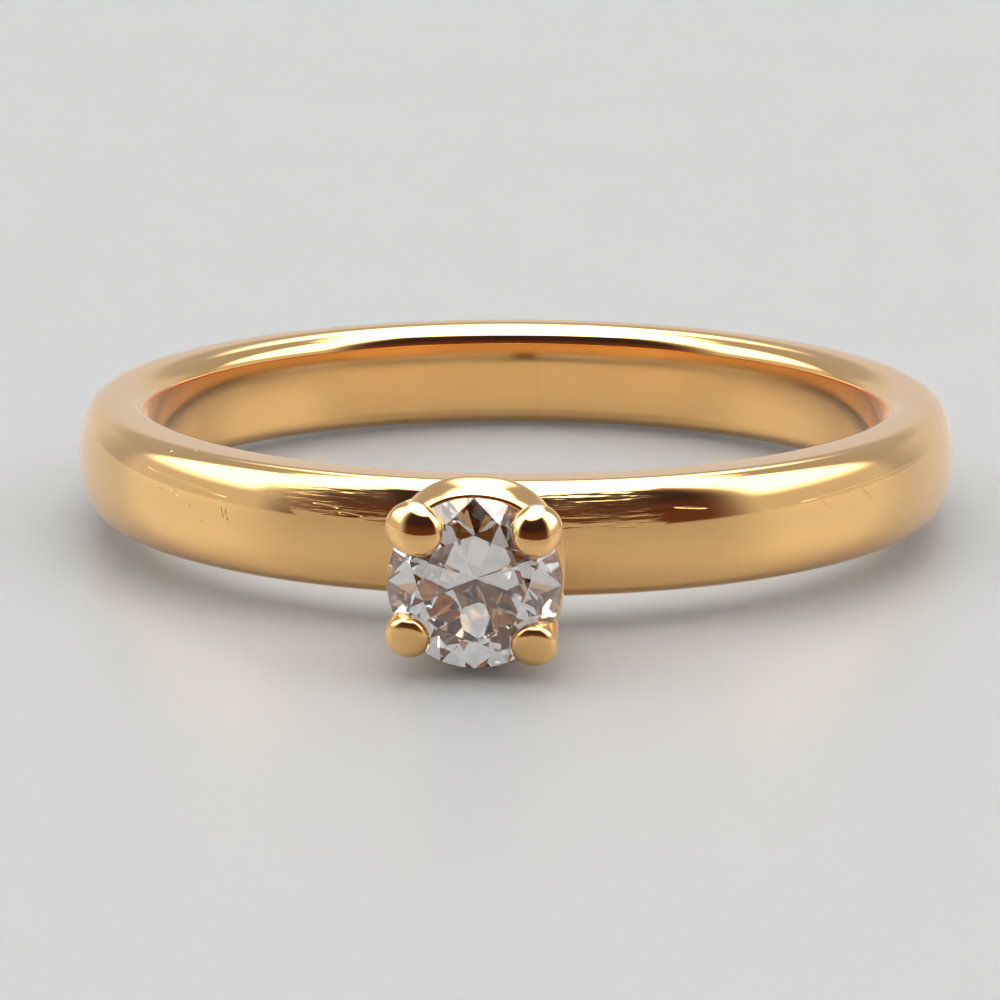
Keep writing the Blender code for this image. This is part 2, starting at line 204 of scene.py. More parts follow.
def hand_over(name: str, mesh: Mesh, place: Matrix, node: str) -> Object:
    """Put a finished mesh in the scene in place of a solid.

    Args:
        name: The piece's name.
        mesh: The mesh in its own frame.
        place: From that frame to the row's frame.
        node: The solid that it stands for.

    Returns:
        The finished piece, at the origin with its place in its mesh.
    """
    mesh.transform(place)
    piece = bpy.data.objects.new(name, mesh)
    bpy.context.scene.collection.objects.link(piece)
    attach(piece, BODY)
    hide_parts(node)
    log.info("%s stands for %s: %d faces", name, node, len(mesh.polygons))
    return piece


# Geometry Nodes trees


@dataclass(frozen=True)
class TreeInput:
    """A named input of a Geometry Nodes tree."""

    name: str
    kind: str


class PathTree:
    """A Geometry Nodes tree with named inputs, whose result is a swept surface in one material."""

    def __init__(self, name: str, inputs: list[TreeInput]) -> None:
        """Make the tree with its inputs.

        Args:
            name: The tree's name.
            inputs: What a piece can set.
        """
        self.tree = bpy.data.node_groups.new(name, "GeometryNodeTree")
        self.identifiers: dict[str, str] = {}
        for item in [*inputs, TreeInput("Material", "NodeSocketMaterial")]:
            socket = self.tree.interface.new_socket(item.name, in_out="INPUT", socket_type=item.kind)
            self.identifiers[item.name] = socket.identifier
        self.tree.interface.new_socket("Geometry", in_out="OUTPUT", socket_type="NodeSocketGeometry")
        self.entry = add_node(self.tree, "NodeGroupInput")

    def close(self, geometry: NodeSocket) -> None:
        """End the tree: smooth shading, real geometry and one material.

        Args:
            geometry: The shape so far.
        """
        tree = self.tree
        smooth = add_node(tree, "GeometryNodeSetShadeSmooth", {"Geometry": geometry})
        real = add_node(tree, "GeometryNodeRealizeInstances", {"Geometry": smooth.outputs[0]})
        finished = {"Geometry": real.outputs[0], "Material": self.entry.outputs["Material"]}
        dressed = add_node(tree, "GeometryNodeSetMaterial", finished)
        add_node(tree, "NodeGroupOutput", {0: dressed.outputs[0]})

    def working_piece(self, name: str, values: dict[str, Any]) -> Object:
        """Make a working object that this tree shapes.

        Args:
            name: The object's name.
            values: Input name to value.

        Returns:
            The object, with the tree as its first modifier.
        """
        obj = working_object(name, bpy.data.meshes.new(name))
        modifier = obj.modifiers.new("shape", "NODES")
        modifier.node_group = self.tree
        for key, value in values.items():
            modifier[self.identifiers[key]] = value
        return obj


class SweptTree(PathTree):
    """Sweeps a flat section along a level path, and eases it into a worn section towards +Y.

    How far each point lies along the path and across the section is kept for the finish.
    """

    def __init__(self) -> None:
        """Build the nodes."""
        inputs = [TreeInput(name, "NodeSocketObject") for name in ("Path", "Section", "Worn Section")]
        inputs += [TreeInput(name, "NodeSocketFloat") for name in ("Worn From", "Worn To")]
        super().__init__("swept_section", inputs)
        tree, entry = self.tree, self.entry
        path = add_node(tree, "GeometryNodeObjectInfo", {"Object": entry.outputs["Path"]})
        level = {"Curve": path.outputs["Geometry"]}
        upright = add_node(tree, "GeometryNodeSetCurveNormal", level, mode="Z_UP")
        way = self.measured(upright.outputs["Curve"], "along")
        fresh = self.swept(way, entry.outputs["Section"])
        worn = self.swept(way, entry.outputs["Worn Section"])
        here = add_node(tree, "GeometryNodeInputPosition").outputs[0]
        index = add_node(tree, "GeometryNodeInputIndex").outputs[0]
        sample = {"Geometry": worn, "Value": here, "Index": index}
        there = add_node(tree, "GeometryNodeSampleIndex", sample, data_type="FLOAT_VECTOR").outputs[0]
        parts = add_node(tree, "ShaderNodeSeparateXYZ", {0: here}).outputs
        worn_from, worn_to = entry.outputs["Worn From"], entry.outputs["Worn To"]
        reach = {"Value": parts["Y"], "From Min": worn_from, "From Max": worn_to}
        share = add_node(tree, "ShaderNodeMapRange", reach, interpolation_type="SMOOTHSTEP").outputs["Result"]
        eased = add_node(tree, "ShaderNodeMix", {0: share, 4: here, 5: there}, data_type="VECTOR").outputs[1]
        moved = add_node(tree, "GeometryNodeSetPosition", {"Geometry": fresh, "Position": eased})
        self.close(moved.outputs["Geometry"])

    def swept(self, way: NodeSocket, section: NodeSocket) -> NodeSocket:
        """Sweep the section that an object holds along the path.

        Args:
            way: The path.
            section: The object.

        Returns:
            The swept surface.
        """
        outline = add_node(self.tree, "GeometryNodeObjectInfo", {"Object": section}).outputs["Geometry"]
        inputs = {"Curve": way, "Profile Curve": self.measured(outline, "across"), "Fill Caps": True}
        return add_node(self.tree, "GeometryNodeCurveToMesh", inputs).outputs["Mesh"]

    def measured(self, curve: NodeSocket, name: str) -> NodeSocket:
        """Store the length along a curve on its points.

        Args:
            curve: The curve.
            name: The attribute that keeps the length.

        Returns:
            The curve with the attribute.
        """
        length = add_node(self.tree, "GeometryNodeSplineParameter").outputs["Length"]
        stored = {"Geometry": curve, "Name": name, "Value": length}
        kept = {"data_type": "FLOAT", "domain": "POINT"}
        return add_node(self.tree, "GeometryNodeStoreNamedAttribute", stored, **kept).outputs["Geometry"]

    def shape(
        self, name: str, path: list[Vector], closed: bool, sections: "BandSections", finish: Material
    ) -> Mesh:
        """Sweep a closed section along a path.

        Args:
            name: The mesh's name.
            path: The path's points, in the XY plane.
            closed: Whether the path's last point joins its first.
            sections: The sections' points, with x to the path's right and y down.
            finish: The material.

        Returns:
            The swept mesh.
        """
        way = drawn_path(name + "_path", path, closed=closed)
        fresh = drawn_path(name + "_section", sections.fresh, closed=True)
        worn = drawn_path(name + "_worn_section", sections.worn, closed=True)
        values = {"Path": way, "Section": fresh, "Worn Section": worn, "Material": finish}
        values |= {"Worn From": sections.worn_from, "Worn To": sections.worn_to}
        work = self.working_piece(name, values)
        mesh = evaluated_mesh(work, name)
        discard(work, way, fresh, worn)
        return mesh


class WireTree(PathTree):
    """Sweeps a circle along a drawn path whose points carry the wire's radius, and leans its top aside."""

    def __init__(self) -> None:
        """Build the nodes."""
        kinds = {"Path": "Object", "Sides": "Int", "Lean": "Vector", "Lean From": "Float", "Lean To": "Float"}
        inputs = [TreeInput(name, "NodeSocket" + kind) for name, kind in kinds.items()]
        super().__init__("drawn_wire", inputs)
        tree, entry = self.tree, self.entry
        path = add_node(tree, "GeometryNodeObjectInfo", {"Object": entry.outputs["Path"]})
        ring = {"Resolution": entry.outputs["Sides"], "Radius": 1.0}
        circle = add_node(tree, "GeometryNodeCurvePrimitiveCircle", ring)
        swept = {
            "Curve": path.outputs["Geometry"],
            "Profile Curve": circle.outputs["Curve"],
            "Scale": add_node(tree, "GeometryNodeInputRadius").outputs["Radius"],
            "Fill Caps": True,
        }
        wire = add_node(tree, "GeometryNodeCurveToMesh", swept).outputs["Mesh"]
        here = add_node(tree, "GeometryNodeInputPosition").outputs[0]
        level = add_node(tree, "ShaderNodeSeparateXYZ", {0: here}).outputs["Z"]
        lean_from, lean_to = entry.outputs["Lean From"], entry.outputs["Lean To"]
        reach = {"Value": level, "From Min": lean_from, "From Max": lean_to}
        share = add_node(tree, "ShaderNodeMapRange", reach, interpolation_type="SMOOTHSTEP").outputs["Result"]
        lean = {0: entry.outputs["Lean"], "Scale": share}
        shift = add_node(tree, "ShaderNodeVectorMath", lean, operation="SCALE").outputs["Vector"]
        leaning = add_node(tree, "GeometryNodeSetPosition", {"Geometry": wire, "Offset": shift})
        self.close(leaning.outputs["Geometry"])


def drawn_path(
    name: str, points: list[Vector], radii: list[float] | None = None, closed: bool = False
) -> Object:
    """Make a straight-edged curve for a tree to read.

    Args:
        name: The curve's name.
        points: Its points.
        radii: The wire's radius at each point, where the path is a wire's middle.
        closed: Whether the last point joins the first.

    Returns:
        The working object that holds the curve.
    """
    curve = bpy.data.curves.new(name, "CURVE")
    curve.dimensions = "3D"
    spline = curve.splines.new("POLY")
    spline.points.add(len(points) - 1)
    spline.use_cyclic_u = closed
    for i, (target, point) in enumerate(zip(spline.points, points)):
        target.co = (*point, 1)
        if radii:
            target.radius = radii[i]
    return working_object(name, curve)


def arc(radius: float, start: float, sweep: float, steps: int) -> list[Vector]:
    """An open arc round Z, with close stations at its ends so that its end faces lie square to it.

    Args:
        radius: The arc's radius.
        start: The first direction.
        sweep: The angle from there to the last direction.
        steps: How many even steps the arc has.

    Returns:
        The arc's points.
    """
    shares = [i / steps for i in range(steps + 1)]
    shares[1:1] = [END_STATION / steps]
    shares[-1:-1] = [1 - END_STATION / steps]
    return [polar(radius, start + sweep * share, 0) for share in shares]


def circle(radius: float, steps: int) -> list[Vector]:
    """The points of a circle round Z."""
    return [polar(radius, math.tau * i / steps, 0) for i in range(steps)]


def loft_mesh(name: str, rings: list[list[Vector]], finish: Material) -> Mesh:
    """Join closed rings of points one to the next, and the last to the first.

    Args:
        name: The mesh's name.
        rings: Rings with the same number of points.
        finish: The material.

    Returns:
        The closed mesh.
    """
    count = len(rings[0])
    faces = []
    for i in range(len(rings)):
        here = i * count
        there = (i + 1) % len(rings) * count
        for j in range(count):
            k = (j + 1) % count
            faces.append((here + j, here + k, there + k, there + j))
    mesh = bpy.data.meshes.new(name)
    mesh.from_pydata([point for ring in rings for point in ring], [], faces)
    mesh.shade_smooth()
    mesh.materials.append(finish)
    return mesh


# Finishes


def new_material(name: str) -> tuple[Material, Node]:
    """Make a material with only a Principled shader.

    Args:
        name: The material's name.

    Returns:
        The material and its shader.
    """
    material = bpy.data.materials.new(name)
    material.use_nodes = True
    return material, material.node_tree.nodes["Principled BSDF"]


def drifting_colour(tree: NodeTree, shader: Node, size: float, first: str, second: str) -> NodeSocket:
    """Let a finish's colour drift between two tints, in soft random patches on the piece.

    Args:
        tree: The material's nodes.
        shader: The material's shader.
        size: How large the patches are.
        first: The tint where the pattern is low.
        second: The tint where it is high.

    Returns:
        The pattern, from nought to one.
    """
    place = add_node(tree, "ShaderNodeTexCoord").outputs["Object"]
    patches = {"Vector": place, "Scale": 1 / size, "Detail": DRIFT_DETAIL}
    pattern = add_node(tree, "ShaderNodeTexNoise", patches).outputs["Fac"]
    tints = {0: pattern, 6: linear(first), 7: linear(second)}
    tint = add_node(tree, "ShaderNodeMix", tints, data_type="RGBA").outputs[2]
    tree.links.new(tint, shader.inputs["Base Color"])
    return pattern


@dataclass(frozen=True)
class PolishedGold:
    """Eighteen carat yellow gold, buffed bright: a mirror with a warm tint under a haze of fine wear."""

    name: str
    colour: str = "#fbcb88"
    warm_colour: str = "#f8c47d"
    roughness: float = 0.05
    worn_roughness: float = 0.11
    haze: float = 0.3
    haze_spread: float = 0.5
    haze_colour: str = "#fff1e0"
    buffing: float = 2.6 * MM
    buffing_depth: float = 0.0016 * MM

    def material(self) -> Material:
        """Make the material.

        Returns:
            The material.
        """
        material, shader = new_material(self.name)
        tree = material.node_tree
        pattern = drifting_colour(tree, shader, self.buffing, self.colour, self.warm_colour)
        shader.inputs["Metallic"].default_value = 1.0
        shader.inputs["Sheen Weight"].default_value = self.haze
        shader.inputs["Sheen Roughness"].default_value = self.haze_spread
        shader.inputs["Sheen Tint"].default_value = linear(self.haze_colour)
        tree.links.new(self.dullness(tree, pattern), shader.inputs["Roughness"])
        relief = {"Height": self.relief(tree, pattern), "Distance": 1.0}
        tree.links.new(add_node(tree, "ShaderNodeBump", relief).outputs["Normal"], shader.inputs["Normal"])
        return material

    def dullness(self, tree: NodeTree, pattern: NodeSocket) -> NodeSocket:
        """The roughness of the surface, which drifts with its colour.

        Args:
            tree: The material's nodes.
            pattern: The pattern that the colour drifts with.

        Returns:
            The roughness.
        """
        spread = {"Value": pattern, "From Min": PATTERN_LOW, "From Max": PATTERN_HIGH}
        spread |= {"To Min": self.roughness, "To Max": self.worn_roughness}
        return add_node(tree, "ShaderNodeMapRange", spread).outputs["Result"]

    def relief(self, tree: NodeTree, pattern: NodeSocket) -> NodeSocket:
        """The height of the surface, as soft waves from buffing."""
        waves = {0: pattern, 1: self.buffing_depth}
        return add_node(tree, "ShaderNodeMath", waves, operation="MULTIPLY").outputs[0]


@dataclass(frozen=True)
class Mark:
    """A lens-shaped groove in the band from knocks and wear.

    Its ends are places along the band from its seam and across its section from the upper edge. Places and
    sizes are in millimetres.
    """

    start: tuple[float, float]
    end: tuple[float, float]
    half_width: float
    depth: float


@dataclass(frozen=True)
class Patch:
    """A worn place on the band with fine streaks along it, placed as a mark is. Sizes are in millimetres."""

    middle: tuple[float, float]
    reach: tuple[float, float]
    depth: float
    roughness: float


MARKS = (
    # Left of the head
    Mark((18.81, 2.35), (21.13, 2.11), 0.035, 0.003),
    Mark((19.21, 2.015), (19.43, 1.974), 0.045, 0.006),
    Mark((19.66, 2.04), (19.88, 1.93), 0.045, 0.008),
    Mark((20.20, 1.85), (20.24, 1.74), 0.045, 0.008),
    Mark((20.48, 1.56), (20.54, 1.46), 0.045, 0.008),
    Mark((21.02, 1.88), (21.08, 1.66), 0.035, 0.006),
    Mark((21.12, 1.86), (21.19, 1.61), 0.04, 0.008),
    Mark((19.28, 2.80), (19.40, 2.82), 0.06, 0.008),
    Mark((19.80, 3.06), (19.92, 3.07), 0.06, 0.008),
    Mark((22.98, 2.25), (23.50, 2.19), 0.03, 0.008),
    Mark((23.50, 2.10), (23.95, 2.06), 0.03, 0.007),
    # Right of the head
    Mark((29.55, 2.26), (30.20, 2.18), 0.022, 0.006),
    Mark((32.70, 2.02), (32.94, 1.80), 0.04, 0.006),
    Mark((33.82, 2.07), (34.10, 1.78), 0.04, 0.006),
    Mark((33.26, 3.02), (35.65, 2.75), 0.035, 0.003),
    Mark((32.17, 2.06), (36.17, 2.27), 0.035, 0.003),
)
PATCHES = (
    Patch((28.0, 2.30), (1.9, 0.55), 0.032, 0.28),
    Patch((23.6, 2.32), (1.6, 0.45), 0.028, 0.28),
)


@dataclass(frozen=True)
class WornGold(PolishedGold):
    """The band's gold, with the nicks, scratches and streaks of long wear.

    Lengths along and across the band come from the attributes that its sweep stored.
    """

    marks: tuple[Mark, ...] = MARKS
    patches: tuple[Patch, ...] = PATCHES
    streak_length: float = 1.1 * MM
    streak_width: float = 0.11 * MM
    streak_detail: float = 2.5
    patch_core: float = 0.4
    waver: float = 0.03 * MM
    waver_size: float = 0.3 * MM
    waver_detail: float = 3.0

    def relief(self, tree: NodeTree, pattern: NodeSocket) -> NodeSocket:
        """The height of the surface: waves from buffing, streaks where it is worn, and grooves.

        Args:
            tree: The material's nodes.
            pattern: The waves' pattern.

        Returns:
            The height.
        """
        spot = self.spot(tree)
        height = super().relief(tree, pattern)
        for patch in self.patches:
            raised = {0: self.streaks(tree, spot, patch), 1: patch.depth * MM, 2: height}
            height = add_node(tree, "ShaderNodeMath", raised, operation="MULTIPLY_ADD").outputs[0]
        shaken = self.wavering(tree, spot)
        for mark in self.marks:
            sunk = {0: height, 1: self.groove(tree, shaken, mark)}
            height = add_node(tree, "ShaderNodeMath", sunk, operation="SUBTRACT").outputs[0]
        return height

    def dullness(self, tree: NodeTree, pattern: NodeSocket) -> NodeSocket:
        """The roughness of the surface, higher along the streaks of a worn patch.

        Args:
            tree: The material's nodes.
            pattern: The pattern that the roughness drifts with.

        Returns:
            The roughness.
        """
        spot = self.spot(tree)
        rough = super().dullness(tree, pattern)
        for patch in self.patches:
            raised = {0: self.streaks(tree, spot, patch), 1: patch.roughness, 2: rough}
            rough = add_node(tree, "ShaderNodeMath", raised, operation="MULTIPLY_ADD").outputs[0]
        return rough

    def spot(self, tree: NodeTree) -> NodeSocket:
        """The place along and across the band.

        Args:
            tree: The material's nodes.

        Returns:
            The two lengths as a vector.
        """
        along = add_node(tree, "ShaderNodeAttribute", attribute_name="along").outputs["Fac"]
        across = add_node(tree, "ShaderNodeAttribute", attribute_name="across").outputs["Fac"]
        return add_node(tree, "ShaderNodeCombineXYZ", {0: along, 1: across}).outputs[0]

    def wavering(self, tree: NodeTree, spot: NodeSocket) -> NodeSocket:
        """Shift a place a little at random, so that grooves have ragged edges.

        Args:
            tree: The material's nodes.
            spot: The place along and across the band.

        Returns:
            The shifted place.
        """
        noise = {"Vector": spot, "Scale": 1 / self.waver_size, "Detail": self.waver_detail}
        shift = add_node(tree, "ShaderNodeTexNoise", noise).outputs["Color"]
        about = {0: shift, 1: (PATTERN_MIDDLE,) * 3}
        aside = add_node(tree, "ShaderNodeVectorMath", about, operation="SUBTRACT").outputs[0]
        moved = {0: aside, 1: (self.waver, self.waver, 0), 2: spot}
        return add_node(tree, "ShaderNodeVectorMath", moved, operation="MULTIPLY_ADD").outputs[0]

    def streaks(self, tree: NodeTree, spot: NodeSocket, patch: Patch) -> NodeSocket:
        """Fine ridges along the band that die out towards a worn patch's edge.

        Args:
            tree: The material's nodes.
            spot: The place along and across the band.
            patch: The worn patch.

        Returns:
            The ridges, from nought to one.
        """
        stretch = {0: spot, 1: (1 / self.streak_length, 1 / self.streak_width, 1.0)}
        drawn_out = add_node(tree, "ShaderNodeVectorMath", stretch, operation="MULTIPLY").outputs[0]
        streaked = {"Vector": drawn_out, "Scale": 1.0, "Detail": self.streak_detail}
        noise = add_node(tree, "ShaderNodeTexNoise", streaked).outputs["Fac"]
        middle = tuple(place * MM for place in patch.middle) + (0.0,)
        reach = tuple(1 / (size * MM) for size in patch.reach) + (0.0,)
        off = add_node(tree, "ShaderNodeVectorMath", {0: spot, 1: middle}, operation="SUBTRACT").outputs[0]
        scaled = add_node(tree, "ShaderNodeVectorMath", {0: off, 1: reach}, operation="MULTIPLY").outputs[0]
        far = add_node(tree, "ShaderNodeVectorMath", {0: scaled}, operation="LENGTH").outputs["Value"]
        fade = {"Value": far, "From Min": 1.0, "From Max": self.patch_core}
        inside = add_node(tree, "ShaderNodeMapRange", fade, interpolation_type="SMOOTHSTEP").outputs["Result"]
        return add_node(tree, "ShaderNodeMath", {0: noise, 1: inside}, operation="MULTIPLY").outputs[0]

    def groove(self, tree: NodeTree, spot: NodeSocket, mark: Mark) -> NodeSocket:
        """How deep a mark is at a place.

        Args:
            tree: The material's nodes.
            spot: The place along and across the band.
            mark: The groove.

        Returns:
            The depth, which falls to nought at the groove's edge.
        """
        start = Vector((*mark.start, 0)) * MM
        run = Vector((*mark.end, 0)) * MM - start
        aside = run.cross(Vector((0, 0, 1))).normalized()
        off = add_node(tree, "ShaderNodeVectorMath", {0: spot, 1: start}, operation="SUBTRACT").outputs[0]
        per_run = {0: off, 1: run / run.length_squared}
        share = add_node(tree, "ShaderNodeVectorMath", per_run, operation="DOT_PRODUCT").outputs["Value"]
        held = add_node(tree, "ShaderNodeClamp", {"Value": share}).outputs[0]
        rest = add_node(tree, "ShaderNodeMath", {0: 1.0, 1: held}, operation="SUBTRACT").outputs[0]
        lens = add_node(tree, "ShaderNodeMath", {0: held, 1: rest}, operation="MULTIPLY").outputs[0]
        bulge = add_node(tree, "ShaderNodeMath", {0: lens}, operation="SQRT").outputs[0]
        widest = {0: bulge, 1: 2 * mark.half_width * MM}
        half_width = add_node(tree, "ShaderNodeMath", widest, operation="MULTIPLY").outputs[0]
        across = {0: off, 1: aside}
        side = add_node(tree, "ShaderNodeVectorMath", across, operation="DOT_PRODUCT").outputs["Value"]
        apart = add_node(tree, "ShaderNodeMath", {0: side}, operation="ABSOLUTE").outputs[0]
        reach = {"Value": apart, "From Min": half_width, "From Max": 0.0, "To Max": mark.depth * MM}
        return add_node(tree, "ShaderNodeMapRange", reach, interpolation_type="SMOOTHSTEP").outputs["Result"]


@dataclass(frozen=True)
class CutDiamond:
    """Near colourless diamond with polished facets: strong refraction and hard bright edges."""

    name: str = "cut_diamond"
    colour: str = "#fbfcfd"
    cloudy_colour: str = "#f4f3f2"
    cloud_size: float = 0.9 * MM
    ior: float = 2.417

    def material(self) -> Material:
        """Make the material.

        Returns:
            The material.
        """
        material, shader = new_material(self.name)
        tree = material.node_tree
        shader.inputs["Roughness"].default_value = 0.0
        shader.inputs["IOR"].default_value = self.ior
        shader.inputs["Transmission Weight"].default_value = 1.0
        drifting_colour(tree, shader, self.cloud_size, self.colour, self.cloudy_colour)
        return material


@dataclass(frozen=True)
class PaleTable:
    """Satin white acrylic sheet: light spreads inside it, with a blurred mirror image at low angles."""

    name: str = "pale_table"
    colour: str = "#9d9e9d"
    dull_colour: str = "#9a9b9b"
    scatter: float = 4 * MM
    roughness: float = 0.32
    dull_roughness: float = 0.36
    cloud_size: float = 24 * MM

    def material(self) -> Material:
        """Make the material.

        Returns:
            The material.
        """
        material, shader = new_material(self.name)
        tree = material.node_tree
        pattern = drifting_colour(tree, shader, self.cloud_size, self.colour, self.dull_colour)
        shader.subsurface_method = "BURLEY"
        shader.inputs["Subsurface Weight"].default_value = 1.0
        shader.inputs["Subsurface Radius"].default_value = (1.0, 1.0, 1.0)
        shader.inputs["Subsurface Scale"].default_value = self.scatter
        spread = {"Value": pattern, "From Min": PATTERN_LOW, "From Max": PATTERN_HIGH}
        spread |= {"To Min": self.roughness, "To Max": self.dull_roughness}
        dullness = add_node(tree, "ShaderNodeMapRange", spread).outputs["Result"]
        tree.links.new(dullness, shader.inputs["Roughness"])
        return material


# Pieces


@dataclass(frozen=True)
class RingPlace:
    """Where the ring lies: the middle of its finger hole, the way the hole faces, and the hole's size."""

    centre: Vector
    axis: Vector
    bore_radius: float
    width: float

    @classmethod
    def from_record(cls) -> "RingPlace":
        """Read the place from the record's finger bore.

        Returns:
            The place.
        """
        bore = next(mount for mount in frame["record"]["mounts"] if mount["name"] == "finger_bore")
        sizes = bore["dims"]
        axis = Vector(bore["axis"]).normalized()
        return cls(Vector(bore["pos_m"]), axis, sizes["r_mm"] * MM, sizes["length_mm"] * MM)

    def band(self) -> Matrix:
        """From the band's frame, with its axis along Z and the stone at -Y, to the row's frame.

        Returns:
            The turn and shift.
        """
        side = Vector((1, 0, 0))
        turn = Matrix((side, self.axis.cross(side), self.axis)).transposed()
        return Matrix.Translation(self.centre) @ turn.to_4x4()

    def head(self, drop: float) -> Matrix:
        """From the head's frame, with Z out of the band through the stone, to the row's frame."""
        return self.band() @ Matrix.Translation((0, 0, -drop)) @ Matrix.Rotation(math.pi / 2, 4, "X")


@dataclass(frozen=True)
class BandSections:
    """The band's section where it is fresh and where it is worn, and where one eases into the other."""

    fresh: list[Vector]
    worn: list[Vector]
    worn_from: float
    worn_to: float


@dataclass(frozen=True)
class Band:
    """The shank: a D-shaped section bent into a ring, closed at the back by a thin wafer of solder."""

    place: RingPlace
    swept: SweptTree
    crown_radius: float
    flank_height: float = 0.83 * MM
    dome_fullness: float = 2.32
    bore_edge: tuple[float, float] = (0.31 * MM, 0.31 * MM)
    worn_bore_edge: tuple[float, float] = (0.67 * MM, 0.45 * MM)
    worn_from: float = -6.0 * MM
    worn_to: float = 3.0 * MM
    seam_thickness: float = 0.14 * MM
    seam_gap: float = 0.0005 * MM
    dome_points: int = 60
    edge_points: int = 10
    shank_steps: int = 480
    seam_steps: int = 2

    def section(self, bore_edge: tuple[float, float], grow: float = 0.0) -> list[Vector]:
        """The D section from its upper flank down the dome and back up the bore.

        Args:
            bore_edge: How far the rounding at the bore reaches up the flank and into the bore.
            grow: How far the outline moves outwards, for a clearance.

        Returns:
            Points with x away from the finger and y along the finger.
        """
        half = self.place.width / 2 + grow
        dome = self.crown_radius - self.place.bore_radius - self.flank_height + grow
        power = 2 / self.dome_fullness
        points = []
        for i in range(self.dome_points + 1):
            angle = math.pi * (0.5 - i / self.dome_points)
            out = dome * max(0.0, math.cos(angle)) ** power
            up = math.copysign(half * abs(math.sin(angle)) ** power, math.sin(angle))
            points.append(Vector((self.flank_height + out, up, 0)))
        edge_out, edge_up = bore_edge
        for middle, first in ((edge_up - half, math.pi * 1.5), (half - edge_up, math.pi)):
            for i in range(self.edge_points + 1):
                angle = first - math.pi / 2 * i / self.edge_points
                out = edge_out * (1 + math.cos(angle)) - grow
                points.append(Vector((out, middle + edge_up * math.sin(angle), 0)))
        return points

    def sections(self, grow: float = 0.0) -> BandSections:
        """The fresh section at the front and the worn one at the back."""
        fresh = self.section(self.bore_edge, grow)
        return BandSections(fresh, self.section(self.worn_bore_edge, grow), self.worn_from, self.worn_to)

    def closed_ring(self, name: str, grow: float, finish: Material) -> Mesh:
        """The whole band without its seam, grown by a clearance."""
        path = circle(self.place.bore_radius, self.shank_steps)
        return self.swept.shape(name, path, True, self.sections(grow), finish)

    def build(self, gold: Material, solder: Material) -> None:
        """Make the shank and its seam, and hand them over.

        Args:
            gold: The shank's gold.
            solder: The seam's solder.
        """
        back = math.pi / 2
        radius = self.place.bore_radius
        wafer = self.seam_thickness / self.crown_radius
        slit = wafer + 2 * self.seam_gap / self.crown_radius
        around = arc(radius, back + slit / 2, math.tau - slit, self.shank_steps)
        shank = self.swept.shape("shank_polished", around, False, self.sections(), gold)
        hand_over("shank_polished", shank, self.place.band(), "shank")
        across = arc(radius, back - wafer / 2, wafer, self.seam_steps)
        seam = self.swept.shape("seam_polished", across, False, self.sections(), solder)
        hand_over("seam_polished", seam, self.place.band(), "shank_solder_seam")


